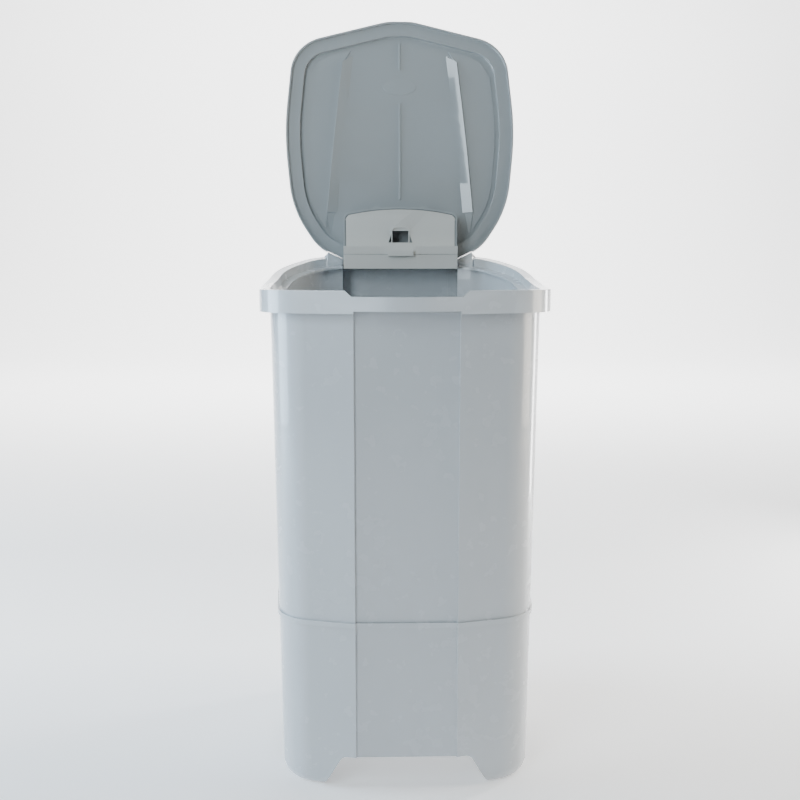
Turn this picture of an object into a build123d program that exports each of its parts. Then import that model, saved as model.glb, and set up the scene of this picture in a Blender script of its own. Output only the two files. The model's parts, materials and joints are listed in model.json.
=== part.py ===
from build123d import *
import math
import os

# Pet-waste pail with a hinged lid and a bag dispenser on the lid's underside.
# Millimetres, +Z up, floor at z = 0, the front faces -Y. Rest pose: lid open.
# Shapes are drawn about the middle of the pail's plan; the export moves them forwards
# so that the origin is under the middle of the whole, the open lid included.

# ---- overall sizes -------------------------------------------------------
RIM_WIDTH = 362.5
RIM_FRONT = 192.0
RIM_REAR = 188.0
RIM_TOP_FRONT = 602.0
FRONT_FLAT = 20.0
FRONT_CORNER_IN = 13.0
FRONT_CORNER_BACK = 38.0
BODY_INSET = 12.5
BODY_DRAFT = 7.5
BODY_WALL = 2.5

# ---- swept rim line in side view ----------------------------------------
SWEEP_START = -60.0
SWEEP_END = 60.0
SWEEP_ANGLE = 13.0
LIP_HEIGHT = 11.0

# ---- rim collar ----------------------------------------------------------
COLLAR_WALL = 3.0
COLLAR_BAND = 26.0
LIP_WIDTH = 12.5
LEDGE_INNER = 25.0
LEDGE_THICK = 3.0
SKIRT_INSET = 16.5
SKIRT_WALL = 2.5
SKIRT_DEPTH = 30.0
SKIRT_FIT = 0.5
NOTCH_DEPTH = 7.0
NOTCH_BOTTOM = 125.0
NOTCH_TOP = 140.0

# ---- body details --------------------------------------------------------
PANEL_WIDTH = 120.0
PANEL_RECESS = 3.0
BEAD_Z = 206.0
BEAD_HEIGHT = 6.0
BEAD_PROUD = 2.2
ARCH_HEIGHT = 42.0
ARCH_TOP_HALF = 77.0
ARCH_FLARE = 21.0
ARCH_ROUND = 10.0
SIDE_ARCH_HEIGHT = 28.0
SIDE_ARCH_HALF = 62.0
FOOT_TIP = 5.0
FOOT_PROFILE = [(0.0, 11.0), (2.5, 6.0), (7.0, 2.4), (15.0, 0.0)]
FOOT_FLOOR = 3.0

# ---- lid -----------------------------------------------------------------
LID_GAP = 3.2
LID_WALL = 2.5
LID_SEAT = 1.0
BORDER_WIDTH = 20.0
BORDER_RISE = 7.0
LID_RISE = 12.0
RAMP_START = (-128.0, 67.5)
RAMP_END = (98.0, 91.5)
RAMP_WIDTH = 14.5
RAMP_DEPTH = 4.5
RAMP_TAIL = 28.0
SIDE_PAD = 1.2
CENTRE_RIB = 1.2
CENTRE_RIB_DEPTH = 1.5
OVAL_PAD = 0.5

# ---- lid hinge -----------------------------------------------------------
AXIS_Y = 172.0
PIN_RADIUS = 2.5
PIN_FIT = 0.06
KNUCKLE_RADIUS = 6.0
KNUCKLE_WIDTH = 10.0
WING_START_RADIUS = 6.5
WING_PEAK_RADIUS = 17.0
WING_PEAK = 20.5
WING_WIDTH = 27.5
WING_GAP = 1.6
SWING_GAP = 1.0
STOP_GAP = 0.3
STOP_LOW = 8.5
STOP_HIGH = 13.0

# ---- bag dispenser box; each RISE is a height above the lid hinge's axis --
BOX_HALF = 81.0
BOX_WALL = 2.5
BOX_BOTTOM_RISE = -6.53
BOX_SHOULDER_RISE = 72.47
BOX_CROWN_RISE = 80.47
BOX_FRONT_Y = 150.0
TRAY_FRONT_Y = 137.0
TRAY_TOP_RISE = 13.47
BELLY_TOP_RISE = 25.47
PANEL_GAP = 0.8
COVER_WALL = 2.2
BACK_PLATE_Y = 172.0
BACK_PLATE = 2.0
SLOT_BASE = 34.0
SLOT_TOP = 23.0
SLOT_RISE = 30.47
SLOT_HEIGHT = 16.5
TAB_HALF = 18.0
TAB_PROUD = 5.0
TAB_TOP_RISE = 19.47
COVER_AXIS_Y = 152.6
COVER_AXIS_RISE = 62.97
COVER_PIN = 1.3
COVER_EAR = 2.4
COVER_EAR_WIDTH = 5.5
HUMP_X = 34.0
HUMP_HALF = 7.0
HUMP_TOP_RISE = 82.47
CLIP_X = 76.0
CLIP_THICK = 2.4
POCKET_WALL = 3.0

# ---- bag roll ------------------------------------------------------------
ROLL_RADIUS = 13.0
ROLL_HALF = 30.0
ROLL_Y = 157.5
ROLL_RISE = 10.97
CORE_RADIUS = 4.0
CORE_WALL = 1.2
SPINDLE_FIT = 0.1
POST_X = 34.0
POST_THICK = 3.0
SCREW_X = 64.0
SCREW_RADIUS = 1.5
SCREW_HEAD = 3.0
SCREW_LOW_RISE = 21.47
SCREW_HIGH_RISE = 63.47

# ---- values that follow from the ones above ------------------------------
HALF = RIM_WIDTH / 2
LEDGE_Z = RIM_TOP_FRONT - LIP_HEIGHT
COLLAR_BOTTOM = RIM_TOP_FRONT - COLLAR_BAND
SWEEP_RADIUS = (SWEEP_END - SWEEP_START) / math.sin(math.radians(SWEEP_ANGLE))
SWEEP_RISE = SWEEP_RADIUS * (1 - math.cos(math.radians(SWEEP_ANGLE)))
OPEN_ANGLE = 90.0 + SWEEP_ANGLE
SLOPE = math.tan(math.radians(SWEEP_ANGLE))
AXIS_Z = LEDGE_Z + SWEEP_RISE + (AXIS_Y - SWEEP_END) * SLOPE
BOX_BOTTOM = AXIS_Z + BOX_BOTTOM_RISE
BOX_SHOULDER = AXIS_Z + BOX_SHOULDER_RISE
BOX_CROWN = AXIS_Z + BOX_CROWN_RISE
TRAY_TOP = AXIS_Z + TRAY_TOP_RISE
BELLY_TOP = AXIS_Z + BELLY_TOP_RISE
SLOT_Z = AXIS_Z + SLOT_RISE
TAB_TOP = AXIS_Z + TAB_TOP_RISE
COVER_AXIS_Z = AXIS_Z + COVER_AXIS_RISE
HUMP_TOP = AXIS_Z + HUMP_TOP_RISE
ROLL_Z = AXIS_Z + ROLL_RISE
SCREW_LEVELS = (AXIS_Z + SCREW_LOW_RISE, AXIS_Z + SCREW_HIGH_RISE)
LID_INSET = LIP_WIDTH + LID_GAP
COS = math.cos(math.radians(SWEEP_ANGLE))
LID_FACE_Y = AXIS_Y + (LID_RISE - LID_WALL) * COS
LID_BACK_Y = AXIS_Y + LID_RISE * COS
TONGUE_HALF = BOX_HALF + 1.0
WING_X = TONGUE_HALF + WING_GAP
BOX_REACH = math.hypot(AXIS_Y - TRAY_FRONT_Y + TAB_PROUD, TAB_TOP - AXIS_Z)
FRONT_SLOPE = FRONT_CORNER_BACK / (HALF - FRONT_CORNER_IN - FRONT_FLAT)
FIELD_UNDER = LID_RISE - LID_WALL
POCKET_FLOOR = AXIS_Z - BOX_REACH - 2.0
POCKET_REAR = LID_BACK_Y + 3.8
POCKET_HALF = TONGUE_HALF + 1.2
TOP_LIMIT = AXIS_Z + 130.0
ORIGIN_SHIFT = 13.8


def plan(inset):
    """Plan outline of the rim, moved inwards by inset."""
    half = [
        (FRONT_FLAT, -RIM_FRONT, 90.0),
        (HALF - FRONT_CORNER_IN, -RIM_FRONT + FRONT_CORNER_BACK, 72.0),
        (HALF, -12.0, 450.0),
        (HALF - 10.2, RIM_REAR - 88.0, 150.0),
        (HALF - 52.2, RIM_REAR - 26.0, 80.0),
        (HALF - 101.2, RIM_REAR - 4.0, 120.0),
    ]
    points = [(x, y) for x, y, _ in half]
    points.append((0.0, RIM_REAR))
    points.extend((-x, y) for x, y, _ in reversed(half))
    face = Polygon(*points, align=None)
    for x, y, radius in half:
        for side in (x, -x):
            corner = [v for v in face.vertices() if abs(v.X - side) < 1e-3 and abs(v.Y - y) < 1e-3]
            face = fillet(corner, radius)
    if inset:
        face = offset(face, amount=-inset)
    return face


def prism(inset, bottom=0.0, top=TOP_LIMIT):
    """Upright solid on the plan outline."""
    return extrude(Pos(0, 0, bottom) * plan(inset), amount=top - bottom)


def ring(outer, inner, bottom=0.0, top=TOP_LIMIT):
    """Upright ring between two insets of the plan outline."""
    return prism(outer, bottom, top) - prism(inner, bottom, top)


def under(rise):
    """Everything below the swept ledge line moved up by rise."""
    half_angle = math.radians(SWEEP_ANGLE / 2)
    start = (SWEEP_START, LEDGE_Z + rise)
    middle_y = SWEEP_START + SWEEP_RADIUS * math.sin(half_angle)
    middle = (middle_y, start[1] + SWEEP_RADIUS * (1 - math.cos(half_angle)))
    end = (SWEEP_END, start[1] + SWEEP_RISE)
    far = (260.0, end[1] + (260.0 - SWEEP_END) * SLOPE)
    edges = [
        Line((-260.0, start[1]), start),
        ThreePointArc(start, middle, end),
        Line(end, far),
        Line(far, (260.0, -20.0)),
        Line((260.0, -20.0), (-260.0, -20.0)),
        Line((-260.0, -20.0), (-260.0, start[1])),
    ]
    face = make_face(edges)
    return extrude(Plane.YZ * face, amount=240.0, both=True)


def ledge_height(y):
    """Height of the swept ledge line at a depth."""
    if y <= SWEEP_START:
        return LEDGE_Z
    if y < SWEEP_END:
        return LEDGE_Z + SWEEP_RADIUS - math.sqrt(SWEEP_RADIUS ** 2 - (y - SWEEP_START) ** 2)
    return LEDGE_Z + SWEEP_RISE + (y - SWEEP_END) * SLOPE


def layer(solid, low, high):
    """The part of a solid between two levels above the swept ledge line."""
    return (solid & under(high)) - under(low)


def block(x0, x1, y0, y1, z0, z1):
    """Axis-aligned box from its corner values."""
    return Pos((x0 + x1) / 2, (y0 + y1) / 2, (z0 + z1) / 2) * Box(x1 - x0, y1 - y0, z1 - z0)


def rod(radius, x0, x1, y, z):
    """Cylinder along X."""
    return Pos((x0 + x1) / 2, y, z) * Rot(0, 90, 0) * Cylinder(radius, x1 - x0)


def both_sides(solid):
    """A solid and its mirror image across the middle plane."""
    return solid + mirror(solid, about=Plane.YZ)


def swing(solid):
    """Turn a lid piece from closed to the open rest pose."""
    hinge = Axis((0, AXIS_Y, AXIS_Z), (1, 0, 0))
    return solid.rotate(hinge, -OPEN_ANGLE)


def body_inset(z):
    """Inset of the body's outer face at a height."""
    return BODY_INSET + BODY_DRAFT * (LEDGE_Z - z) / LEDGE_Z


def tapered(extra, bottom, top):
    """Body outline with draft between two heights."""
    low = Pos(0, 0, bottom) * plan(body_inset(bottom) + extra)
    high = Pos(0, 0, top) * plan(body_inset(top) + extra)
    return loft([low, high], ruled=True)


def panel_plane(drop):
    """Y of the sunken front panel's face, drop below the ledge."""
    edge = RIM_FRONT - (PANEL_WIDTH / 2 - FRONT_FLAT) * FRONT_SLOPE
    return -edge + body_inset(LEDGE_Z - drop) + PANEL_RECESS


def front_slab(half_width, shift):
    """Space in front of the sunken front panel, moved back by shift."""
    top_y = panel_plane(0.0) + shift
    low_y = panel_plane(LEDGE_Z) + shift
    points = [(-300.0, -5.0), (low_y, -5.0), (top_y, LEDGE_Z), (-300.0, LEDGE_Z)]
    face = Plane.YZ * make_face(Polyline(*points, close=True))
    return extrude(face, amount=half_width, both=True)


def arch_gap(plane, half, flare, height, extra):
    """Space between two feet, with rounded upper corners and splayed foot tips."""
    top = height + extra
    low = half + flare + extra
    points = [
        (-low - FOOT_TIP, -1.0),
        (-low, FOOT_TIP),
        (-half - extra, top),
        (half + extra, top),
        (low, FOOT_TIP),
        (low + FOOT_TIP, -1.0),
    ]
    face = make_face(Polyline(*points, close=True))
    corners = [v for v in face.vertices() if abs(v.Y - top) < 1e-3]
    return extrude(plane * fillet(corners, ARCH_ROUND), amount=260.0, both=True)


def arches(extra):
    """Gaps between the four feet."""
    gap = arch_gap(Plane.XZ, ARCH_TOP_HALF, ARCH_FLARE, ARCH_HEIGHT, extra)
    return gap + arch_gap(Plane.YZ, SIDE_ARCH_HALF, ARCH_FLARE, SIDE_ARCH_HEIGHT, extra)


def bin_body():
    """One-piece pail with sunken front panel, bead and four hollow feet."""
    sections = [Pos(0, 0, z) * plan(body_inset(z) + extra) for z, extra in FOOT_PROFILE]
    shoulder = FOOT_PROFILE[-1][0]
    outer = loft(sections, ruled=True) + tapered(0.0, shoulder, TOP_LIMIT)
    outer = outer - front_slab(PANEL_WIDTH / 2, 0.0)
    bead = tapered(-BEAD_PROUD, BEAD_Z, BEAD_Z + BEAD_HEIGHT)
    bead = bead - front_slab(PANEL_WIDTH / 2, -BEAD_PROUD)
    outer = outer + bead
    outer = outer - arches(0.0)
    cavity = tapered(BODY_WALL + FOOT_PROFILE[1][1], FOOT_FLOOR, shoulder)
    cavity = cavity + tapered(BODY_WALL, shoulder, TOP_LIMIT)
    cavity = cavity - front_slab(PANEL_WIDTH / 2 + BODY_WALL, BODY_WALL)
    cavity = cavity - arches(BODY_WALL)
    body = (outer - cavity) & under(-LEDGE_THICK)
    notch = block(-POCKET_HALF - POCKET_WALL, POCKET_HALF + POCKET_WALL, 120.0, 220.0,
                  POCKET_FLOOR - POCKET_WALL, TOP_LIMIT)
    return body - notch


def wing(grow):
    """Hinge cheek on the right side, a turned shape about the lid axis."""
    peak = WING_X + WING_PEAK
    end = WING_X + WING_WIDTH
    points = [
        (WING_X, 0.0),
        (WING_X, WING_START_RADIUS),
        (peak, WING_PEAK_RADIUS),
        (end, WING_PEAK_RADIUS - 7.0),
        (end, 0.0),
    ]
    if grow:
        points = [
            (TONGUE_HALF, 0.0),
            (TONGUE_HALF, WING_START_RADIUS + grow),
            (peak, WING_PEAK_RADIUS + grow),
            (peak + 34.0, WING_PEAK_RADIUS + grow),
            (peak + 34.0, 0.0),
        ]
    face = make_face(Polyline(*points, close=True))
    return Pos(0, AXIS_Y, AXIS_Z) * revolve(face, Axis.X, 360)


def rim_collar():
    """Push-fit collar: band, lip, lid ledge, inner skirt, hinge cheeks, pocket."""
    wall = ring(0.0, COLLAR_WALL, COLLAR_BOTTOM) & under(LIP_HEIGHT)
    lip = layer(ring(0.0, LIP_WIDTH), LIP_HEIGHT - 2.5, LIP_HEIGHT)
    lip_inner = layer(ring(LIP_WIDTH - 2.5, LIP_WIDTH), -LEDGE_THICK, LIP_HEIGHT)
    ledge = layer(ring(LIP_WIDTH - 2.5, LEDGE_INNER), -LEDGE_THICK, 0.0)
    skirt = ring(SKIRT_INSET, SKIRT_INSET + SKIRT_WALL, LEDGE_Z - SKIRT_DEPTH) & under(0.0)
    clear = BODY_WALL + SKIRT_FIT
    skirt = skirt - front_slab(PANEL_WIDTH / 2 + clear, clear)
    panel_y = panel_plane(0.0) + clear
    reach = PANEL_WIDTH / 2 + clear + SKIRT_WALL
    bridge = block(-reach, reach, -RIM_FRONT + LIP_WIDTH, panel_y + SKIRT_WALL, LEDGE_Z - LEDGE_THICK, LEDGE_Z)
    lap = block(-reach + 6.0, reach - 6.0, panel_y, panel_y + SKIRT_WALL, LEDGE_Z - SKIRT_DEPTH, LEDGE_Z)
    collar = wall + lip + lip_inner + ledge + skirt + bridge + lap
    fill = ring(0.0, LIP_WIDTH) & block(-80, 80, -200, 0, LEDGE_Z - LEDGE_THICK, RIM_TOP_FRONT)
    collar = collar + fill
    top = RIM_TOP_FRONT + 1.0
    low = RIM_TOP_FRONT - NOTCH_DEPTH
    grow = (NOTCH_TOP - NOTCH_BOTTOM) / 2 / NOTCH_DEPTH
    points = [
        (-NOTCH_BOTTOM / 2, low),
        (NOTCH_BOTTOM / 2, low),
        (NOTCH_TOP / 2 + grow, top),
        (-NOTCH_TOP / 2 - grow, top),
    ]
    notch = extrude(Plane.XZ * make_face(Polyline(*points, close=True)), amount=220.0)
    collar = collar - notch
    collar = collar - block(-PANEL_WIDTH / 2, PANEL_WIDTH / 2, -210, -100, 0, COLLAR_BOTTOM + 3.0)
    wide = POCKET_HALF + POCKET_WALL
    rear = POCKET_REAR + POCKET_WALL
    floor = POCKET_FLOOR - POCKET_WALL
    back = LID_BACK_Y + SWING_GAP
    sweep = block(TONGUE_HALF, WING_X + WING_PEAK, 140.0, back, AXIS_Z + 4.0, TOP_LIMIT)
    collar = collar - both_sides(sweep)
    cheek = block(WING_X - 1.0, WING_X + WING_WIDTH + 1.0, 140.0, rear, 0.0, TOP_LIMIT) & wing(0.0)
    collar = collar + both_sides(cheek - under(-LEDGE_THICK))
    skirt_y = RIM_REAR - LEDGE_INNER
    shell = block(-wide, wide, skirt_y, rear, floor, TOP_LIMIT) & under(LIP_HEIGHT)
    front_trim = block(-wide, wide, skirt_y - 1, back, LEDGE_Z, TOP_LIMIT) - under(0.0)
    collar = collar + (shell - front_trim)
    hollow = block(-POCKET_HALF, POCKET_HALF, 120.0, POCKET_REAR, POCKET_FLOOR, TOP_LIMIT)
    collar = collar - hollow
    rib = block(69.0, 71.0, POCKET_REAR - 1.2, POCKET_REAR, POCKET_FLOOR, AXIS_Z)
    stop = block(40.0, 60.0, LID_BACK_Y + STOP_GAP, POCKET_REAR, AXIS_Z + STOP_LOW, AXIS_Z + STOP_HIGH)
    collar = collar + both_sides(rib) + both_sides(stop)
    bore = rod(PIN_RADIUS, POCKET_HALF - 1, WING_X + WING_WIDTH + 1, AXIS_Y, AXIS_Z)
    collar = collar - both_sides(bore)
    return collar


def lid_closed():
    """Lid moulding in the closed position."""
    inner = LID_INSET + BORDER_WIDTH
    skirt = layer(ring(LID_INSET, LID_INSET + LID_WALL), LID_SEAT, BORDER_RISE)
    border = layer(ring(LID_INSET, inner), BORDER_RISE - LID_WALL, BORDER_RISE)
    step = layer(ring(inner - LID_WALL, inner), BORDER_RISE - LID_WALL, LID_RISE)
    field = layer(prism(inner - LID_WALL), LID_RISE - LID_WALL, LID_RISE)
    lid = skirt + border + step + field
    rear = AXIS_Y + 5.0
    start = RIM_REAR - inner - 12.0
    zone = block(-TONGUE_HALF, TONGUE_HALF, start, 230.0, 0.0, TOP_LIMIT)
    lid = lid - (zone - prism(inner))
    tongue = block(-TONGUE_HALF, TONGUE_HALF, start, rear, 0.0, TOP_LIMIT)
    lid = lid + layer(tongue, LID_RISE - LID_WALL, LID_RISE)
    side = block(BOX_HALF, TONGUE_HALF + 0.6, start, RIM_REAR - LID_INSET, 0.0, TOP_LIMIT)
    side = side & prism(LID_INSET)
    lid = lid + both_sides(layer(side, LID_SEAT, LID_RISE))
    lid = lid - both_sides(wing(1.4))
    knuckle = rod(KNUCKLE_RADIUS, BOX_HALF - KNUCKLE_WIDTH, BOX_HALF, AXIS_Y, AXIS_Z)
    web = block(BOX_HALF - KNUCKLE_WIDTH, BOX_HALF, AXIS_Y - 5.0, rear, AXIS_Z, TOP_LIMIT)
    lid = lid + both_sides(knuckle + (web & under(LID_RISE - 1.0)))
    bore = rod(PIN_RADIUS + PIN_FIT, BOX_HALF - KNUCKLE_WIDTH - 1, BOX_HALF + 1, AXIS_Y, AXIS_Z)
    lid = lid - both_sides(bore)
    lid = lid + both_sides(ramp()) + both_sides(side_pad())
    spine = block(-CENTRE_RIB, CENTRE_RIB, -57.0, 80.0, 0.0, TOP_LIMIT)
    spine = spine + block(-CENTRE_RIB, CENTRE_RIB, -146.0, -107.0, 0.0, TOP_LIMIT)
    lid = lid + layer(spine, FIELD_UNDER - CENTRE_RIB_DEPTH, FIELD_UNDER)
    oval = extrude(Pos(0, -82, 0) * Ellipse(24.0, 12.0), amount=TOP_LIMIT)
    return lid + layer(oval, FIELD_UNDER - OVAL_PAD, FIELD_UNDER)


def ramp_inner(y):
    """X of a ramp's inner edge at a depth."""
    share = (y - RAMP_START[0]) / (RAMP_END[0] - RAMP_START[0])
    return RAMP_START[1] + share * (RAMP_END[1] - RAMP_START[1])


def wedge(stations):
    """Sloping rib on the lid's underside through (y, inner x, width, depth) stations."""
    sections = []
    for y, inner, width, depth in stations:
        z = ledge_height(y) + FIELD_UNDER
        points = [(inner, z), (inner, z + 1.0), (inner + width, z + 1.0), (inner + width, z - depth)]
        sections.append(Pos(0, y, 0) * (Plane.XZ * make_face(Polyline(*points, close=True))))
    return loft(sections, ruled=True)


def ramp():
    """Long sloping rib right of the middle, with a slanted tip and a low tail."""
    start = RAMP_START[0]
    end = RAMP_END[0]
    stations = [(start, ramp_inner(start), 2.0, 0.6)]
    steps = 11
    for step in range(steps + 1):
        y = start + 10.0 + (end - start - 10.0) * step / steps
        stations.append((y, ramp_inner(y), RAMP_WIDTH, RAMP_DEPTH))
    tail = [
        (end, ramp_inner(end) + 3.0, RAMP_WIDTH - 3.0, RAMP_DEPTH * 0.6),
        (end + RAMP_TAIL, ramp_inner(end) + 9.0, 2.0, 0.5),
    ]
    return wedge(stations) + wedge(tail)


def side_pad():
    """Slightly raised area between the ramp and the border's step, right side."""
    points = [
        (ramp_inner(-134.0) + 4.0, -135.0),
        (96.0, -131.0),
        (117.0, -119.0),
        (131.0, -98.0),
        (150.0, -60.0),
        (150.0, 100.0),
        (ramp_inner(110.0) + RAMP_WIDTH, 122.0),
        (ramp_inner(96.0) + RAMP_WIDTH - 1.0, 96.0),
        (ramp_inner(-116.0) + RAMP_WIDTH - 1.0, -116.0),
    ]
    area = extrude(make_face(Polyline(*points, close=True)), amount=TOP_LIMIT)
    area = area & prism(LID_INSET + BORDER_WIDTH + 6.0)
    return layer(area, FIELD_UNDER - SIDE_PAD, FIELD_UNDER)


def screw_spots():
    """Centres of the four box screws in X and Z."""
    return [(x, z) for x in (-SCREW_X, SCREW_X) for z in SCREW_LEVELS]


def lid_shell():
    """Lid moulding in the open rest pose, with bosses for the box."""
    lid = swing(lid_closed())
    for x, z in screw_spots():
        length = LID_FACE_Y - BACK_PLATE_Y - BACK_PLATE
        middle = BACK_PLATE_Y + BACK_PLATE + length / 2
        boss = Pos(x, middle, z) * Rot(90, 0, 0) * Cylinder(4.0, length)
        hole = Pos(x, middle - 0.5, z) * Rot(90, 0, 0) * Cylinder(SCREW_RADIUS, length - 1.0)
        lid = lid + (boss - hole)
    return lid


def arch_face(half, bottom, shoulder, crown):
    """Upright outline with an arched top, in the XZ plane."""
    edges = [
        Line((-half, bottom), (half, bottom)),
        Line((half, bottom), (half, shoulder - 4.0)),
        Line((half, shoulder - 4.0), (half - 4.0, shoulder)),
        ThreePointArc((half - 4.0, shoulder), (0.0, crown), (-half + 4.0, shoulder)),
        Line((-half + 4.0, shoulder), (-half, shoulder - 4.0)),
        Line((-half, shoulder - 4.0), (-half, bottom)),
    ]
    return make_face(edges)


def slab(face, y0, y1):
    """Extrude an XZ face between two Y values."""
    return Pos(0, y1, 0) * extrude(Plane.XZ * face, amount=y1 - y0)


def box_housing():
    """Dispenser box frame with humped top, back plate and roll posts."""
    inner = BOX_HALF - BOX_WALL
    outline = arch_face(BOX_HALF, BOX_BOTTOM, BOX_SHOULDER, BOX_CROWN)
    bore = arch_face(inner, BOX_BOTTOM + BOX_WALL, BOX_SHOULDER - BOX_WALL, BOX_CROWN - BOX_WALL)
    box = slab(outline, BOX_FRONT_Y, LID_FACE_Y) - slab(bore, 100.0, LID_FACE_Y + 1.0)
    hump = slab(Pos(HUMP_X, HUMP_TOP - HUMP_HALF) * Circle(HUMP_HALF), BOX_FRONT_Y, BOX_FRONT_Y + 8.0)
    box = box + both_sides(hump - slab(bore, 100.0, LID_FACE_Y))
    box = box + slab(bore, BACK_PLATE_Y, BACK_PLATE_Y + BACK_PLATE)
    box = box - block(-100, 100, 100.0, BOX_FRONT_Y + COVER_WALL + 0.4, TRAY_TOP, BELLY_TOP + 0.6)
    post = block(POST_X, POST_X + POST_THICK, ROLL_Y - 5.5, BACK_PLATE_Y + 0.5, BOX_BOTTOM + 1.0, ROLL_Z + 6.5)
    spindle = CORE_RADIUS - SPINDLE_FIT
    post = post - rod(spindle, POST_X - 1, POST_X + POST_THICK + 1, ROLL_Y, ROLL_Z)
    mouth = block(POST_X - 1, POST_X + POST_THICK + 1, ROLL_Y - 9.0, ROLL_Y, ROLL_Z - 3.2, ROLL_Z + 3.2)
    box = box + both_sides(post - mouth)
    box = box - both_sides(rod(COVER_PIN, inner - 1.0, inner + 2.0, COVER_AXIS_Y, COVER_AXIS_Z))
    corner = block(BOX_HALF - KNUCKLE_WIDTH - 1.5, BOX_HALF + 1.0, 162.0, 190.0, 0.0, AXIS_Z + 9.0)
    box = box - both_sides(corner)
    for x, z in screw_spots():
        box = box - Pos(x, BACK_PLATE_Y, z) * Rot(90, 0, 0) * Cylinder(SCREW_RADIUS, 10.0)
    return box


def box_tray():
    """Shallow light tray that clips to the box's lower front."""
    inner = BOX_HALF - BOX_WALL
    tray = block(-BOX_HALF, BOX_HALF, TRAY_FRONT_Y, BOX_FRONT_Y, BOX_BOTTOM, TRAY_TOP)
    tray = tray - block(-inner, inner, TRAY_FRONT_Y + BOX_WALL, 170.0, BOX_BOTTOM + BOX_WALL, TOP_LIMIT)
    clip_low = BOX_BOTTOM + 5.0
    clip_high = TRAY_TOP - 3.0
    clip = block(CLIP_X, CLIP_X + CLIP_THICK, BOX_FRONT_Y - 4.0, BOX_FRONT_Y + 6.0, clip_low, clip_high)
    root = block(CLIP_X, BOX_HALF, BOX_FRONT_Y - 4.0, BOX_FRONT_Y - 1.0, clip_low, clip_high)
    return tray + both_sides(clip + root)


def box_cover():
    """Front cover with belly, bag slot, thumb tab and two hinge ears."""
    inner = BOX_HALF - BOX_WALL - PANEL_GAP
    shoulder = BOX_SHOULDER - BOX_WALL - PANEL_GAP
    crown = BOX_CROWN - BOX_WALL - PANEL_GAP
    face = arch_face(inner, BELLY_TOP - 1.0, shoulder, crown)
    cover = slab(face, BOX_FRONT_Y, BOX_FRONT_Y + COVER_WALL)
    foot = TRAY_TOP + 0.5
    belly = block(-BOX_HALF, BOX_HALF, TRAY_FRONT_Y, BOX_FRONT_Y + COVER_WALL, foot, BELLY_TOP)
    room = BOX_HALF - COVER_WALL
    belly = belly - block(-room, room, TRAY_FRONT_Y + COVER_WALL, 170.0, foot - 1, BELLY_TOP - COVER_WALL)
    cover = cover + belly
    edge = SLOT_Z + SLOT_HEIGHT
    points = [(-SLOT_BASE / 2, SLOT_Z), (SLOT_BASE / 2, SLOT_Z), (SLOT_TOP / 2, edge), (-SLOT_TOP / 2, edge)]
    slot = slab(make_face(Polyline(*points, close=True)), 130.0, 160.0)
    lip_band = Plane.XZ * Pos(0, edge, 0) * Ellipse(SLOT_TOP / 2 + 3.0, 8.0)
    lip_hole = Plane.XZ * Pos(0, edge, 0) * Ellipse(SLOT_TOP / 2, 5.0)
    lip = Pos(0, BOX_FRONT_Y, 0) * extrude(lip_band - lip_hole, amount=1.8)
    lip = lip & block(-40, 40, 100, 200, edge, TOP_LIMIT)
    rail_y = BOX_FRONT_Y + COVER_WALL
    rail = block(SLOT_TOP / 2, SLOT_TOP / 2 + 1.5, BOX_FRONT_Y - 1.0, rail_y, SLOT_Z - 1.5, edge + 1.5)
    cover = cover - slot + lip + both_sides(rail)
    tab = block(-TAB_HALF, TAB_HALF, TRAY_FRONT_Y - TAB_PROUD, TRAY_FRONT_Y - 0.4, TRAY_TOP - 2.0, TAB_TOP)
    join = block(-TAB_HALF, TAB_HALF, TRAY_FRONT_Y - 1.0, TRAY_FRONT_Y + 0.5, foot, TAB_TOP)
    cover = cover + tab + join
    end = inner - COVER_EAR_WIDTH
    ear = rod(COVER_EAR, end, inner, COVER_AXIS_Y, COVER_AXIS_Z)
    bore = rod(COVER_PIN + PIN_FIT, end - 1.0, inner + 1.0, COVER_AXIS_Y, COVER_AXIS_Z)
    return cover + both_sides(ear) - both_sides(bore)


def cover_pin(side):
    """Short pin from the box's side wall into one ear of the cover."""
    outer = BOX_HALF - BOX_WALL + 1.9
    pin = rod(COVER_PIN, outer - COVER_EAR_WIDTH - 1.0, outer, COVER_AXIS_Y, COVER_AXIS_Z)
    return pin if side > 0 else mirror(pin, about=Plane.YZ)


def hinge_pin(side):
    """Lid hinge pin on one side."""
    start = BOX_HALF - KNUCKLE_WIDTH + 0.5
    end = WING_X + WING_WIDTH - 1.0
    if side > 0:
        return rod(PIN_RADIUS, start, end, AXIS_Y, AXIS_Z)
    return rod(PIN_RADIUS, -end, -start, AXIS_Y, AXIS_Z)


def roll_spindle():
    """Rod that carries the bag roll, with a flange at each end."""
    end = POST_X + POST_THICK + 2.0
    rod_part = rod(CORE_RADIUS - SPINDLE_FIT, -end, end, ROLL_Y, ROLL_Z)
    flange = rod(CORE_RADIUS + 1.6, POST_X + POST_THICK, end, ROLL_Y, ROLL_Z)
    return rod_part + both_sides(flange)


def roll_core():
    """Card tube inside the bag roll."""
    tube = rod(CORE_RADIUS + CORE_WALL, -ROLL_HALF, ROLL_HALF, ROLL_Y, ROLL_Z)
    return tube - rod(CORE_RADIUS, -ROLL_HALF - 1, ROLL_HALF + 1, ROLL_Y, ROLL_Z)


def bag_roll():
    """Wound waste bags."""
    wound = rod(ROLL_RADIUS, -ROLL_HALF, ROLL_HALF, ROLL_Y, ROLL_Z)
    return wound - rod(CORE_RADIUS + CORE_WALL, -ROLL_HALF - 1, ROLL_HALF + 1, ROLL_Y, ROLL_Z)


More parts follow.
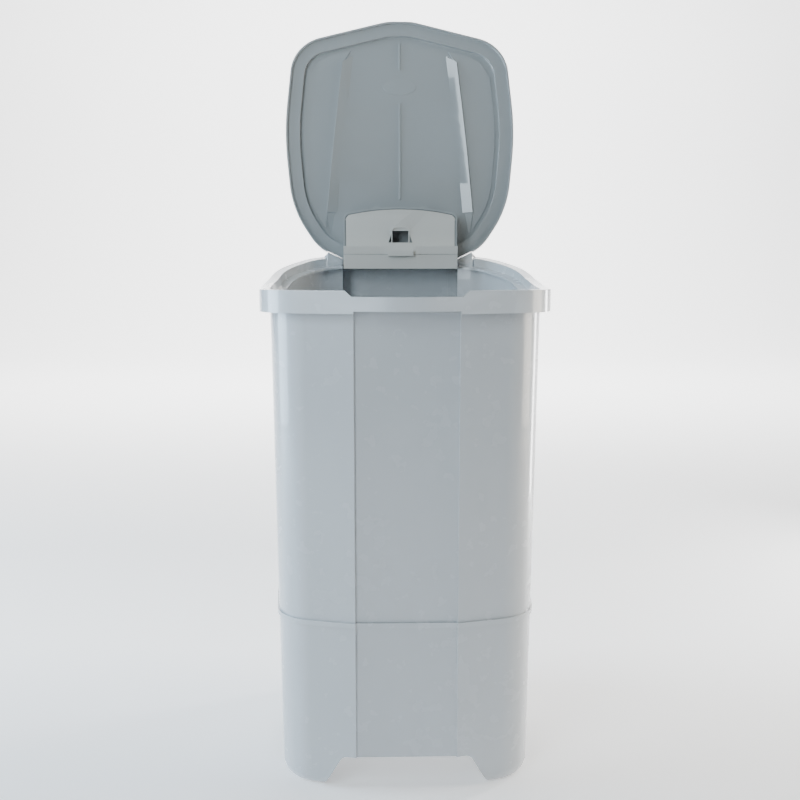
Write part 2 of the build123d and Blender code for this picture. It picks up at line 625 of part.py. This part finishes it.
def box_screws():
    """Four screws that hold the box on the lid."""
    screws = []
    for x, z in screw_spots():
        length = LID_FACE_Y - BACK_PLATE_Y - 3.0
        shank = Pos(x, BACK_PLATE_Y + length / 2, z) * Rot(90, 0, 0) * Cylinder(SCREW_RADIUS, length)
        head = Pos(x, BACK_PLATE_Y - 0.9, z) * Rot(90, 0, 0) * Cylinder(SCREW_HEAD, 1.8)
        slot = block(x - 0.4, x + 0.4, BACK_PLATE_Y - 3.0, BACK_PLATE_Y - 1.0, z - 4.0, z + 4.0)
        screws.append(shank + head - slot)
    return Compound(children=screws)


def rest_pads():
    """Four soft strips on the ledge under the closed lid."""
    seat = layer(ring(LID_INSET - 0.5, LID_INSET + LID_WALL + 1.0), 0.0, LID_SEAT)
    pads = []
    for x0 in (-110.0, 90.0):
        pads.append(seat & block(x0, x0 + 20.0, -200.0, 0.0, 0.0, TOP_LIMIT))
    for side in (-1, 1):
        edges = sorted((side * 120.0, side * 200.0))
        pads.append(seat & block(edges[0], edges[1], -90.0, -70.0, 0.0, TOP_LIMIT))
    return Compound(children=[pad.solids()[0] for pad in pads])


NODES = {
    "bin_body": bin_body,
    "rim_collar": rim_collar,
    "lid_rest_pads": rest_pads,
    "hinge_pin_left": lambda: hinge_pin(-1),
    "hinge_pin_right": lambda: hinge_pin(1),
    "lid_shell": lid_shell,
    "box_housing": box_housing,
    "box_tray": box_tray,
    "box_screws": box_screws,
    "cover_hinge_pin_left": lambda: cover_pin(-1),
    "cover_hinge_pin_right": lambda: cover_pin(1),
    "box_cover": box_cover,
    "roll_spindle": roll_spindle,
    "roll_core": roll_core,
    "bag_roll": bag_roll,
}

os.makedirs("parts", exist_ok=True)
for name, make in NODES.items():
    export_step(Pos(0, -ORIGIN_SHIFT, 0) * make(), f"parts/{name}.step")
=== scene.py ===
"""Looks of a pet-waste pail with an open hinged lid and a bag dispenser box under the lid."""

import json
import logging
import math
from dataclasses import dataclass, field
from enum import Enum
from typing import Callable

import bmesh
import bpy
from mathutils import Matrix, Vector

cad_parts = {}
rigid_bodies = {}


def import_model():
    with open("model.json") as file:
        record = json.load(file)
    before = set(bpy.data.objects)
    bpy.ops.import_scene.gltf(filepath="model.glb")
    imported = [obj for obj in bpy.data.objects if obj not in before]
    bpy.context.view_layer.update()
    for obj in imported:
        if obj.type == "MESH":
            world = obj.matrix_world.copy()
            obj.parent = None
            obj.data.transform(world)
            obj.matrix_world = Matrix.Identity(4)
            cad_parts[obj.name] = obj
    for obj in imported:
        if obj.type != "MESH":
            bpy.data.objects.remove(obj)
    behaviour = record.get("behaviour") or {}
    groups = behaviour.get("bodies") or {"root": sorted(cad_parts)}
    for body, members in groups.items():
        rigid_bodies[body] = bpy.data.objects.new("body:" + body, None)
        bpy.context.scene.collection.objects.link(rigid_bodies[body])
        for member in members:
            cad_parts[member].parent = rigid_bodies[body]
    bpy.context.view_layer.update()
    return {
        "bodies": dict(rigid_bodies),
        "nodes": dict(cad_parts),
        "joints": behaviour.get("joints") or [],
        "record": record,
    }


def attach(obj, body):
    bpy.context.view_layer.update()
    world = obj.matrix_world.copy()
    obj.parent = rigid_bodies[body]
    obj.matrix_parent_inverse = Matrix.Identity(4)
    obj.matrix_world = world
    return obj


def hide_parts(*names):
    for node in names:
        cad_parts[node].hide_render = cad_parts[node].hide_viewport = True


log = logging.getLogger("pail")
MM = 0.001

# The rim line's bend, in millimetres in front of the lid hinge, its slope behind the bend, and
# how far the lid stands open.
BEND_REAR = 112.0
BEND_FRONT = 232.0
RIM_SLOPE = 13.0
OPEN_ANGLE = 103.0

# Heights above the rim line, in millimetres: the collar's lip and the underside of the lid's border.
LIP_RISE = 11.0
BORDER_UNDER = 4.5
RISE_SLACK = 0.6

# The lid's step is only rounded above this height, in millimetres, so clear of the hinge cut-outs.
STEP_LOW = 690.0

# Half the width of the sunken front panel, in millimetres.
PANEL_HALF = 60.0

# How a frame piece is cleaned before its edges are rounded.
MERGE_GAP = 0.004 * MM
FLAT_ANGLE = 0.4

# Strength of the sky as it lights the pail, and as the camera sees it.
SKY_LIGHT = 0.06
SKY_SEEN = 1.6


# ---------------------------------------------------------------- shader maths
class Wire:
    """A shader socket or plain number that takes part in Python expressions."""

    def __init__(self, graph: "Graph", source: object) -> None:
        """Keep the graph and the socket or number.

        Args:
            graph: the material graph that new nodes go into.
            source: an output socket or a number.
        """
        self.graph = graph
        self.source = source

    def _math(self, operation: str, other: object, swap: bool = False) -> "Wire":
        """Add one Math node.

        Args:
            operation: the Math node's operation.
            other: the second value.
            swap: put the second value first.

        Returns:
            The node's result.
        """
        pair = [self, other]
        if swap:
            pair.reverse()
        return self.graph.node("ShaderNodeMath", {"operation": operation}, {0: pair[0], 1: pair[1]})

    def __add__(self, other: object) -> "Wire":
        """Sum."""
        return self._math("ADD", other)

    def __radd__(self, other: object) -> "Wire":
        """Sum with a number on the left."""
        return self._math("ADD", other, True)

    def __sub__(self, other: object) -> "Wire":
        """Difference."""
        return self._math("SUBTRACT", other)

    def __rsub__(self, other: object) -> "Wire":
        """Difference with a number on the left."""
        return self._math("SUBTRACT", other, True)

    def __mul__(self, other: object) -> "Wire":
        """Product."""
        return self._math("MULTIPLY", other)

    def __rmul__(self, other: object) -> "Wire":
        """Product with a number on the left."""
        return self._math("MULTIPLY", other, True)


class Graph:
    """Node tree of one material."""

    def __init__(self, name: str) -> None:
        """Make the material with only a Principled shader and its output.

        Args:
            name: the material's name.
        """
        self.material = bpy.data.materials.new(name)
        self.material.use_nodes = True
        self.tree = self.material.node_tree
        self.tree.nodes.clear()
        self.output = self.tree.nodes.new("ShaderNodeOutputMaterial")
        self.shader = self.tree.nodes.new("ShaderNodeBsdfPrincipled")
        self.tree.links.new(self.shader.outputs[0], self.output.inputs[0])

    def plug(self, socket: bpy.types.NodeSocket, value: object) -> None:
        """Link a wire to a socket, or set the socket's own value.

        Args:
            socket: an input socket.
            value: a wire, number or tuple.
        """
        if isinstance(value, Wire):
            self.tree.links.new(value.source, socket)
        else:
            socket.default_value = value

    def node(self, kind: str, settings: dict, inputs: dict, output: object = 0) -> Wire:
        """Add a node.

        Args:
            kind: the node's type name.
            settings: attributes set first; "stops" fills a colour ramp.
            inputs: values or wires by socket name or number.
            output: which output to hand back.

        Returns:
            The chosen output.
        """
        made = self.tree.nodes.new(kind)
        for key, value in settings.items():
            if key == "stops":
                ramp = made.color_ramp
                while len(ramp.elements) < len(value):
                    ramp.elements.new(0.5)
                for element, (place, shade) in zip(ramp.elements, value):
                    element.position = place
                    element.color = (shade, shade, shade, 1.0)
            else:
                setattr(made, key, value)
        for key, value in inputs.items():
            self.plug(made.inputs[key], value)
        return Wire(self, made.outputs[output])

    def set(self, **values: object) -> None:
        """Set Principled sockets; underscores stand for spaces.

        Args:
            values: wires, numbers or tuples by socket name.
        """
        for key, value in values.items():
            self.plug(self.shader.inputs[key.replace("_", " ")], value)

    def place(self) -> Wire:
        """Object coordinates.

        Returns:
            The coordinates, in metres.
        """
        return self.node("ShaderNodeTexCoord", {}, {}, "Object")

    def noise(self, scale: float, detail: float = 3.0, stretch: tuple = (1, 1, 1)) -> Wire:
        """Noise over the piece.

        Args:
            scale: cells per metre.
            detail: octaves.
            stretch: extra scale along X, Y and Z.

        Returns:
            The noise value, about 0 to 1.
        """
        spot = self.node("ShaderNodeMapping", {}, {"Vector": self.place(), "Scale": stretch})
        return self.node("ShaderNodeTexNoise", {}, {"Vector": spot, "Scale": scale, "Detail": detail})

    def ramp(self, value: Wire, stops: list[tuple[float, float]]) -> Wire:
        """Remap a value through a grey ramp.

        Args:
            value: the value to remap.
            stops: (position, shade) pairs.

        Returns:
            The remapped value.
        """
        return self.node("ShaderNodeValToRGB", {"stops": stops}, {0: value})

    def blend(self, mask: object, first: object, second: object) -> Wire:
        """Mix two colours.

        Args:
            mask: 0 gives the first, 1 the second.
            first: a wire or RGBA tuple.
            second: a wire or RGBA tuple.

        Returns:
            The mixed colour.
        """
        return self.node("ShaderNodeMix", {"data_type": "RGBA"}, {0: mask, 6: first, 7: second}, 2)

    def edges(self) -> Wire:
        """Mask of convex outer edges, where the finishes lay a painted highlight.

        Returns:
            0 on flat faces, 1 on outer edges.
        """
        # Pointiness picks out convex edges; the finishes paint them paler as a painted edge highlight.
        point = self.node("ShaderNodeNewGeometry", {}, {}, "Pointiness")
        return self.ramp(point, [(0.52, 0.0), (0.60, 1.0)])


# -------------------------------------------------------------------- finishes
def tinted(colour: tuple[float, float, float], factor: float) -> tuple[float, float, float, float]:
    """A colour made lighter or darker.

    Args:
        colour: linear RGB.
        factor: what each channel is multiplied by.

    Returns:
        RGBA, each channel at most 1.
    """
    return tuple(min(1.0, c * factor) for c in colour) + (1.0,)


class Grain(Enum):
    """How fine the moulded surface's texture is, in cells per metre."""

    POLISHED = 900.0
    SATIN = 1800.0


@dataclass(frozen=True)
class MouldedPlastic:
    """Injection-moulded plastic with faint flow marks, scuffs, and a painted highlight that makes its convex
    edges paler.
    """

    name: str
    colour: tuple[float, float, float]
    roughness: float = 0.22
    coat: float = 0.25
    grain: Grain = Grain.POLISHED
    texture: float = 0.08
    scuffs: float = 0.03

    def make(self) -> bpy.types.Material:
        """Build the material.

        Returns:
            The new material.
        """
        g = Graph(self.name)
        cloud = g.noise(7.0, 2.0)
        streak = g.noise(30.0, 4.0, (1.0, 1.0, 0.12))
        shade = g.blend(cloud, tinted(self.colour, 0.98), tinted(self.colour, 1.02))
        # Painted highlight: convex edges are made paler, standing in for light caught on them.
        tone_with_painted_edge_highlight = g.blend(g.edges() * 0.35, shade, tinted(self.colour, 1.25))
        scuff = g.ramp(g.noise(55.0, 6.0), [(0.55, 0.0), (0.72, 1.0)])
        g.set(Base_Color=tone_with_painted_edge_highlight, Roughness=self.roughness + cloud * 0.05 + scuff * self.scuffs + streak * 0.03)
        height = g.noise(self.grain.value, 2.0) + streak * 0.5
        bump = g.node("ShaderNodeBump", {}, {"Strength": self.texture, "Distance": 0.0004, "Height": height})
        g.set(Normal=bump, Coat_Weight=self.coat, Coat_Roughness=0.04, IOR=1.49)
        return g.material


@dataclass(frozen=True)
class PlatedSteel:
    """Zinc-plated steel of pins and screws."""

    name: str
    colour: tuple[float, float, float] = (0.55, 0.55, 0.56)

    def make(self) -> bpy.types.Material:
        """Build the material.

        Returns:
            The new material.
        """
        g = Graph(self.name)
        mottle = g.noise(400.0, 5.0)
        tone = g.blend(mottle, tinted(self.colour, 0.8), tinted(self.colour, 1.1))
        # Painted highlight: convex edges are made paler, standing in for light glinting on them.
        tone_with_painted_edge_highlight = g.blend(g.edges() * 0.5, tone, tinted(self.colour, 1.4))
        bump = g.node("ShaderNodeBump", {}, {"Strength": 0.1, "Distance": 0.0002, "Height": mottle})
        g.set(Base_Color=tone_with_painted_edge_highlight, Metallic=1.0, Roughness=0.28 + mottle * 0.15, Normal=bump)
        return g.material


@dataclass(frozen=True)
class DullSurface:
    """Card, film or rubber: matt, with a grain along one direction."""

    name: str
    colour: tuple[float, float, float]
    roughness: float
    cells: float
    stretch: tuple[float, float, float]
    depth: float

    def make(self) -> bpy.types.Material:
        """Build the material.

        Returns:
            The new material.
        """
        g = Graph(self.name)
        grain = g.noise(self.cells, 4.0, self.stretch)
        tone = g.blend(grain, tinted(self.colour, 0.7), tinted(self.colour, 1.3))
        # Painted highlight: convex edges are made paler, standing in for sheen caught on them.
        tone_with_painted_edge_highlight = g.blend(g.edges() * 0.4, tone, tinted(self.colour, 1.6))
        bump = g.node("ShaderNodeBump", {}, {"Strength": 0.3, "Distance": self.depth, "Height": grain})
        g.set(Base_Color=tone_with_painted_edge_highlight, Roughness=self.roughness + grain * 0.1, Normal=bump)
        return g.material


def paint(piece: bpy.types.Object, finish: bpy.types.Material) -> None:
    """Give a piece one material in place of any it has.

    Args:
        piece: the piece.
        finish: its material.
    """
    piece.data.materials.clear()
    piece.data.materials.append(finish)


# ------------------------------------------------------------ softened mouldings
@dataclass(frozen=True)
class Rounding:
    """A wider rounding for some of a moulding's edges."""

    radius: float
    segments: int
    picks: Callable[[bmesh.types.BMEdge], bool]


@dataclass
class Softened:
    """A moulding with its outer edges rounded, made from a merged copy of its frame piece."""

    node: str
    body: str
    slot: str
    radius: float
    sharp: float = 30.0
    segments: int = 2
    shade_angle: float = 38.0
    normal_weight: int = 80
    wide: tuple[Rounding, ...] = ()
    piece: bpy.types.Object | None = field(default=None, repr=False)

    def choose(self, mesh: bmesh.types.BMesh, rule: Rounding | None) -> list[bmesh.types.BMEdge]:
        """Find edges to round among those that turn more than the sharp angle.

        Args:
            mesh: the merged mesh.
            rule: a wider rounding whose edges are wanted, or None for all that are left.

        Returns:
            The chosen edges.
        """
        limit = math.radians(self.sharp)
        sharp = [e for e in mesh.edges if len(e.link_faces) == 2 and e.calc_face_angle(0.0) > limit]
        if rule is None:
            return sharp
        return [e for e in sharp if e.is_convex and rule.picks(e)]

    def round(
        self, mesh: bmesh.types.BMesh, edges: list[bmesh.types.BMEdge], radius: float, segments: int
    ) -> None:
        """Bevel some edges.

        Args:
            mesh: the mesh.
            edges: the edges.
            radius: the rounding in millimetres.
            segments: faces across the rounding.
        """
        bmesh.ops.bevel(
            mesh,
            geom=edges,
            offset=radius * MM,
            offset_type="OFFSET",
            affect="EDGES",
            segments=segments,
            profile=0.5,
            material=-1,
            clamp_overlap=True,
        )

    def rounded(self, source: bpy.types.Mesh) -> bpy.types.Mesh:
        """Merge a copy of the frame piece's mesh and round its edges.

        Args:
            source: the frame piece's mesh, which stays as it is.

        Returns:
            The rounded copy.
        """
        mesh = bmesh.new()
        mesh.from_mesh(source)
        bmesh.ops.remove_doubles(mesh, verts=mesh.verts, dist=MERGE_GAP)
        bmesh.ops.dissolve_limit(
            mesh, angle_limit=math.radians(FLAT_ANGLE), verts=mesh.verts, edges=mesh.edges
        )
        for rule in self.wide:
            edges = self.choose(mesh, rule)
            log.info("%s: %d wide edges", self.node, len(edges))
            self.round(mesh, edges, rule.radius, rule.segments)
        self.round(mesh, self.choose(mesh, None), self.radius, self.segments)
        data = bpy.data.meshes.new(f"{self.node}_soft")
        mesh.to_mesh(data)
        mesh.free()
        data.shade_smooth()
        data.set_sharp_from_angle(angle=math.radians(self.shade_angle))
        return data

    def build(self, frame: dict) -> None:
        """Make the piece, which takes the place of its frame piece.
        """
        data = self.rounded(frame["nodes"][self.node].data)
        self.piece = bpy.data.objects.new(f"{self.node}_soft", data)
        bpy.context.scene.collection.objects.link(self.piece)
        even = self.piece.modifiers.new("even_normals", "WEIGHTED_NORMAL")
        even.keep_sharp = True
        even.weight = self.normal_weight
        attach(self.piece, self.body)
        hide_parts(self.node)
        log.info("%s: %d faces", self.piece.name, len(data.polygons))

    def dress(self, finishes: dict[str, bpy.types.Material]) -> None:
        """Give the piece its finish.

        Args:
            finishes: materials by slot name.
        """
        paint(self.piece, finishes[self.slot])


# ----------------------------------------------------------------------- studio
@dataclass(frozen=True)
class SoftBox:
    """One soft box: where it hangs, what it points at, its size, watts and colour."""

    name: str
    place: tuple[float, float, float]
    size: tuple[float, float]
    power: float
    tint: tuple[float, float, float] = (1.0, 1.0, 1.0)
    aim: tuple[float, float, float] = (0.0, 0.0, 0.5)

    def hang(self) -> None:
        """Add the lamp to the scene."""
        light = bpy.data.lights.new(self.name, "AREA")
        light.shape = "RECTANGLE"
        light.size, light.size_y = self.size
        light.energy = self.power
        light.color = self.tint
        holder = bpy.data.objects.new(self.name, light)
        bpy.context.scene.collection.objects.link(holder)
        holder.location = self.place
        holder.rotation_mode = "QUATERNION"
        holder.rotation_quaternion = (Vector(self.aim) - Vector(self.place)).to_track_quat("-Z", "Y")


SOFT_BOXES = (
    SoftBox("window_box", (-1.2, -1.75, 1.5), (1.0, 2.0), 42.0, (0.80, 0.92, 1.0), aim=(0.05, 0.15, 0.8)),
    SoftBox("left_box", (-2.2, 0.1, 1.0), (1.2, 2.0), 88.0, (0.60, 0.80, 1.0)),
    SoftBox("right_box", (2.2, 0.0, 1.0), (1.0, 2.0), 46.0, (1.0, 0.92, 0.80)),
    SoftBox("right_strip", (1.3, 0.7, 0.6), (0.22, 1.6), 26.0),
    SoftBox("top_box", (0.0, -0.3, 2.9), (1.6, 1.0), 10.0),
    SoftBox("wall_box", (0.0, 2.6, 3.4), (5.0, 1.0), 900.0, aim=(0.0, 6.5, 1.4)),
)


@dataclass
class Studio:
    """Floor, lights, sky and camera."""

    floor_size: float = 10.0
    sweep: float = 2.5
    wall: float = 8.0
    eye: tuple[float, float, float] = (-0.034, -1.2838, 0.633)
    pitch: float = 8.0
    yaw: float = 1.35
    lens: float = 44.1

    def floor_mesh(self) -> bpy.types.Mesh:
        """Shape the floor, which sweeps up into a wall far behind.

        Returns:
            The floor's mesh.
        """
        mesh = bmesh.new()
        half = self.floor_size / 2
        bmesh.ops.create_grid(mesh, x_segments=1, y_segments=1, size=half)
        rear = [e for e in mesh.edges if all(v.co.y > half - 0.01 for v in e.verts)]
        bmesh.ops.spin(
            mesh,
            geom=rear,
            cent=(0.0, half, self.sweep),
            axis=(1.0, 0.0, 0.0),
            angle=math.radians(90.0),
            steps=24,
            use_merge=False,
        )
        top = max(v.co.z for v in mesh.verts)
        rim = [e for e in mesh.edges if all(v.co.z > top - 0.01 for v in e.verts)]
        lifted = bmesh.ops.extrude_edge_only(mesh, edges=rim)["geom"]
        raised = [v for v in lifted if isinstance(v, bmesh.types.BMVert)]
        bmesh.ops.translate(mesh, verts=raised, vec=(0.0, 0.0, self.wall))
        data = bpy.data.meshes.new("floor")
        mesh.to_mesh(data)
        mesh.free()
        data.shade_smooth()
        return data

    def floor(self) -> None:
        """Lay the pale floor, a little brighter behind the pail."""
        data = self.floor_mesh()
        floor = bpy.data.objects.new("floor", data)
        bpy.context.scene.collection.objects.link(floor)
        g = Graph("pale_floor")
        mottle = g.noise(1.5, 3.0)
        g.set(Base_Color=g.blend(mottle, (0.86, 0.86, 0.86, 1), (0.9, 0.9, 0.9, 1)), Roughness=0.8)
        depth = g.node("ShaderNodeSeparateXYZ", {}, {0: g.place()}, "Y")
        glow = g.ramp(depth * 0.5 + 0.5, [(0.34, 0.15), (0.64, 1.0)])
        g.set(Emission_Color=glow, Emission_Strength=1.0)
        data.materials.append(g.material)

    def light(self) -> None:
        """Hang the soft boxes."""
        for box in SOFT_BOXES:
            box.hang()

    def sky(self) -> None:
        """Set the sky: weak as a light, pale where the camera sees it."""
        world = bpy.data.worlds.new("pale_sky")
        world.use_nodes = True
        sky = world.node_tree.nodes["Background"]
        sky.inputs["Color"].default_value = (0.95, 0.97, 1.0, 1.0)
        seen = world.node_tree.nodes.new("ShaderNodeLightPath")
        strength = world.node_tree.nodes.new("ShaderNodeMix")
        strength.inputs[2].default_value = SKY_LIGHT
        strength.inputs[3].default_value = SKY_SEEN
        world.node_tree.links.new(seen.outputs["Is Camera Ray"], strength.inputs[0])
        world.node_tree.links.new(strength.outputs[0], sky.inputs["Strength"])
        bpy.context.scene.world = world

    def camera(self) -> None:
        """Set the camera at standing height in front of the bin."""
        data = bpy.data.cameras.new("camera")
        data.lens = self.lens
        data.sensor_width = 36.0
        data.clip_start = 0.05
        holder = bpy.data.objects.new("camera", data)
        bpy.context.scene.collection.objects.link(holder)
        holder.location = self.eye
        holder.rotation_euler = (math.radians(90.0 - self.pitch), 0.0, math.radians(-self.yaw))
        bpy.context.scene.camera = holder

    def build(self) -> None:
        """Set up the whole studio."""
        self.floor()
        self.light()
        self.sky()
        self.camera()


def finishes() -> dict[str, bpy.types.Material]:
    """Make every finish.

    Returns:
        Materials by the record's slot name.
    """
    return {
        "body_plastic": MouldedPlastic("body_plastic", (0.46, 0.485, 0.505), coat=0.6).make(),
        "collar_plastic": MouldedPlastic("collar_plastic", (0.53, 0.56, 0.58), coat=0.8).make(),
        "lid_plastic": MouldedPlastic("lid_plastic", (0.33, 0.355, 0.362), roughness=0.16, coat=1.0).make(),
        "cover_plastic": MouldedPlastic(
            "cover_plastic", (0.56, 0.56, 0.53), roughness=0.34, coat=0.2, grain=Grain.SATIN
        ).make(),
        "steel": PlatedSteel("steel").make(),
        "soft_pad": DullSurface("soft_pad", (0.03, 0.03, 0.03), 0.75, 900.0, (1, 1, 1), 0.0003).make(),
        "card": DullSurface("card", (0.30, 0.20, 0.11), 0.8, 500.0, (0.1, 1, 1), 0.0002).make(),
        "bag_film": DullSurface("bag_film", (0.02, 0.022, 0.022), 0.45, 260.0, (0.04, 1, 1), 0.0006).make(),
    }


class RimLine:
    """The pail's swept rim line, which the collar, the ledge and the closed lid all follow."""

    def __init__(self, hinge: Vector) -> None:
        """Work out the line behind, along and before its bend.

        Args:
            hinge: a point on the lid hinge's axis, which lies on the line.
        """
        self.hinge = hinge
        self.slope = math.radians(RIM_SLOPE)
        self.radius = (BEND_FRONT - BEND_REAR) * MM / math.sin(self.slope)
        bend_end = -BEND_REAR * MM * math.tan(self.slope)
        self.flat = bend_end - self.radius * (1.0 - math.cos(self.slope))

    def rise(self, point: Vector) -> float:
        """Measure a point's height above the line.

        Args:
            point: a place on the pail, or on the lid when it is closed.

        Returns:
            The height in millimetres.
        """
        back = point.y - self.hinge.y
        if back > -BEND_REAR * MM:
            line = back * math.tan(self.slope)
        elif back > -BEND_FRONT * MM:
            along = back + BEND_FRONT * MM
            line = self.flat + self.radius - math.sqrt(self.radius**2 - along**2)
        else:
            line = self.flat
        return (point.z - self.hinge.z - line) / MM

    def closed_rise(self, point: Vector) -> float:
        """Measure how high a point on the open lid is above the line once the lid is closed.

        Args:
            point: a place on the lid in the open pose.

        Returns:
            The height in millimetres.
        """
        turned = Matrix.Rotation(math.radians(OPEN_ANGLE), 3, "X") @ (point - self.hinge)
        return self.rise(turned + self.hinge)


def mouldings(line: RimLine) -> list[Softened]:
    """The pieces whose edges are rounded.

    Args:
        line: the pail's swept rim line.

    Returns:
        One entry for each piece.
    """

    def panel_edge(edge: bmesh.types.BMEdge) -> bool:
        """Say whether an edge is an upright one of the sunken front panel."""
        a, b = (v.co / MM for v in edge.verts)
        at_side = abs(a.x - b.x) < 0.3 and abs(abs(a.x) - PANEL_HALF) < 2.0
        return at_side and a.y < 0.0 and abs(a.z - b.z) > 2.0

    def rim_edge(edge: bmesh.types.BMEdge) -> bool:
        """Say whether an edge is on the collar's upper outer corner."""
        on_lip = all(abs(line.rise(v.co) - LIP_RISE) < RISE_SLACK for v in edge.verts)
        outward = Vector((edge.verts[0].co.x, edge.verts[0].co.y, 0.0)).normalized()
        return on_lip and any(face.normal.dot(outward) > 0.6 for face in edge.link_faces)

    def step_edge(edge: bmesh.types.BMEdge) -> bool:
        """Say whether an edge is the inner one of the lid's border, on its underside."""
        on_border = all(abs(line.closed_rise(v.co) - BORDER_UNDER) < RISE_SLACK for v in edge.verts)
        return on_border and all(v.co.z > STEP_LOW * MM for v in edge.verts)

    return [
        Softened("bin_body", "base", "body_plastic", radius=0.8, wide=(Rounding(2.7, 3, panel_edge),)),
        Softened("rim_collar", "base", "collar_plastic", radius=1.2, wide=(Rounding(4.5, 4, rim_edge),)),
        Softened(
            "lid_shell",
            "lid",
            "lid_plastic",
            radius=0.5,
            shade_angle=9.0,
            wide=(Rounding(4.0, 1, step_edge),),
        ),
        Softened("box_housing", "lid", "lid_plastic", radius=0.6),
        Softened("box_tray", "lid", "cover_plastic", radius=0.9, segments=3),
        Softened("box_cover", "cover", "cover_plastic", radius=0.7),
    ]


def main() -> None:
    """Build the pieces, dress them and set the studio."""
    logging.basicConfig(level=logging.INFO, format="%(message)s")
    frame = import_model()
    looks = finishes()
    hinge = next(joint for joint in frame["record"]["behaviour"]["joints"] if joint["name"] == "lid_hinge")
    for piece in mouldings(RimLine(Vector(hinge["pos_m"]))):
        piece.build(frame)
        piece.dress(looks)
    slots = {row["node"]: row["material_slot"] for row in frame["record"]["subparts"]}
    for name, node in frame["nodes"].items():
        paint(node, looks[slots[name]])
    Studio().build()


if __name__ == "__main__":
    main()
